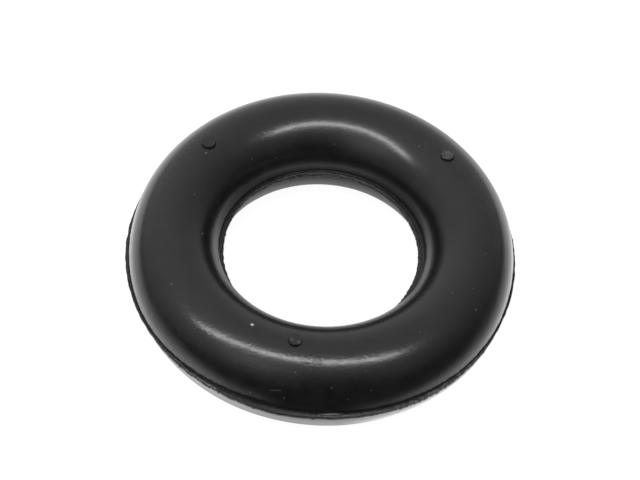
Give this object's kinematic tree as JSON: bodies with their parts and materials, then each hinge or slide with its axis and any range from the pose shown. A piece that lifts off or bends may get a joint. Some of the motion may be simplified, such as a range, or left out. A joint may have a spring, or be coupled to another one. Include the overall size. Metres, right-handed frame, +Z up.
{
  "type": "exhaust hanger rubber",
  "caption": "Plain moulded black rubber ring with an oval section, which hangs an exhaust pipe from hooks or pegs under a car body.",
  "frame": {"origin": "under the middle of the ring, on the surface that it lies on", "axes": "+Z up through the hole; -Y towards the viewer of the picture, so the picture's left is -X"},
  "size_m": [0.0611, 0.061, 0.0166],
  "materials": {
    "black_rubber": "satin moulded rubber with a fine grain, rough along the trimmed flash"
  },
  "bodies": {
    "root": {"hanger_ring": "black_rubber"}
  },
  "joints": []
}
